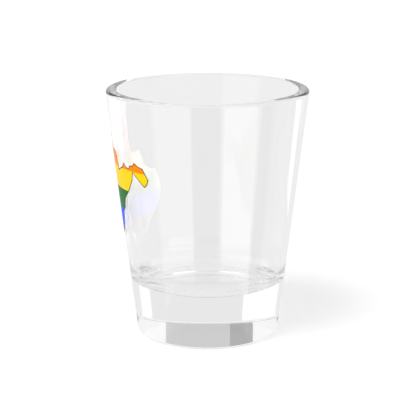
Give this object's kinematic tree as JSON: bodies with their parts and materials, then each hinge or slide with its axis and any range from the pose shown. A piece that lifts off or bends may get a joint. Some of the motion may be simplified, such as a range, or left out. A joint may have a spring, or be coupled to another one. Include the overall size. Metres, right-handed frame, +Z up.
{
  "type": "shot glass",
  "caption": "Clear tapered shot glass with a thick solid base and rounded lip, printed on one side with a landmass shape in rainbow stripes over white.",
  "frame": {"origin": "centre of the foot, on the surface the glass stands on", "axes": "+Z up the glass's axis towards the mouth; the printed side faces -X"},
  "size_m": [0.0486, 0.0486, 0.06],
  "materials": {
    "clear_glass": "clear pressed soda-lime glass, fire-polished",
    "white_ink": "cured white printing ink, satin gloss, slight stipple",
    "red_ink": "cured red printing ink, satin gloss, slight stipple",
    "orange_ink": "cured orange printing ink, satin gloss, slight stipple",
    "yellow_ink": "cured yellow printing ink, satin gloss, slight stipple",
    "green_ink": "cured green printing ink, satin gloss, slight stipple",
    "blue_ink": "cured blue printing ink, satin gloss, slight stipple",
    "violet_ink": "cured violet printing ink, satin gloss, slight stipple",
    "black_ink": "cured black printing ink, satin gloss, slight stipple"
  },
  "bodies": {
    "root": {"glass_tumbler": "clear_glass", "white_underbase": "white_ink", "red_stripe": "red_ink", "orange_stripe": "orange_ink", "yellow_stripe": "yellow_ink", "green_stripe": "green_ink", "blue_stripe": "blue_ink", "violet_stripe": "violet_ink", "outline_line": "black_ink"}
  },
  "joints": []
}
